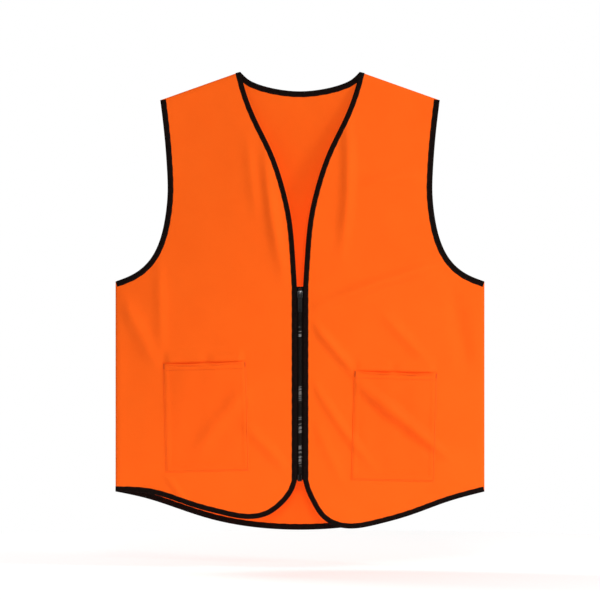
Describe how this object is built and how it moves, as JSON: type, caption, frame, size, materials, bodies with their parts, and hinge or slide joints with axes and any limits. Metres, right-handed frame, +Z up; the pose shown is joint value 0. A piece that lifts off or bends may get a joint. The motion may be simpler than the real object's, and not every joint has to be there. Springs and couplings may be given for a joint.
{
  "type": "zip-front safety vest",
  "caption": "Sleeveless knit vest with a bound V neck, armholes and hem, patch pockets and a separating front zipper.",
  "frame": {"origin": "midway between the two neck points, where the shoulder seams meet the neck edge", "axes": "+Z up, the front faces -Y, +X towards the wearer's left"},
  "size_m": [0.582, 0.0578, 0.724],
  "materials": {
    "orange_knit": "plain tricot knit, matt",
    "pocket_cloth": "plain tricot knit, matt",
    "seam_allowance": "folded knit, overlocked",
    "binding": "folded woven tape, matt",
    "stitching": "sewing thread",
    "zipper_tape": "woven tape",
    "zipper_coil": "nylon coil",
    "zipper_plastic": "moulded nylon",
    "slider_metal": "black enamel"
  },
  "bodies": {
    "back": {"back_panel": "orange_knit", "front_side_right": "orange_knit", "front_side_left": "orange_knit", "back_neck_binding": "binding", "back_hem_binding": "binding", "armhole_binding_right": "binding", "armhole_binding_left": "binding", "side_hem_binding_right": "binding", "side_hem_binding_left": "binding", "side_seam_right": "seam_allowance", "side_seam_left": "seam_allowance", "shoulder_seam_right": "seam_allowance", "shoulder_seam_left": "seam_allowance"},
    "front_right": {"front_panel_right": "orange_knit", "front_binding_right": "binding", "pocket_right": "pocket_cloth", "pocket_tacks_right": "stitching", "zipper_tape_right": "zipper_tape", "zipper_coil_right": "zipper_coil", "zipper_stop_right": "zipper_plastic", "zipper_box": "zipper_plastic"},
    "front_left": {"front_panel_left": "orange_knit", "front_binding_left": "binding", "pocket_left": "pocket_cloth", "pocket_tacks_left": "stitching", "zipper_tape_left": "zipper_tape", "zipper_coil_left": "zipper_coil", "zipper_stop_left": "zipper_plastic", "zipper_pin": "zipper_plastic"},
    "slider": {"zipper_slider": "slider_metal"},
    "pull": {"zipper_pull": "slider_metal"}
  },
  "joints": [
    {"name": "front_right_swing", "type": "hinge", "parent": "back", "child": "front_right", "pos_m": [-0.106, -0.01868, 0], "axis": [-0.232, 0, -0.9727], "range_deg": [0, 150]},
    {"name": "front_left_swing", "type": "hinge", "parent": "back", "child": "front_left", "pos_m": [0.106, -0.01868, 0], "axis": [-0.232, 0, 0.9727], "range_deg": [0, 150]},
    {"name": "slider_travel", "type": "slide", "parent": "front_right", "child": "slider", "axis": [0, 0, -1], "range_m": [0, 0.2775]},
    {"name": "pull_swing", "type": "hinge", "parent": "slider", "child": "pull", "pos_m": [0, -0.03115, -0.35225], "axis": [-1, 0, 0], "range_deg": [0, 170]}
  ]
}
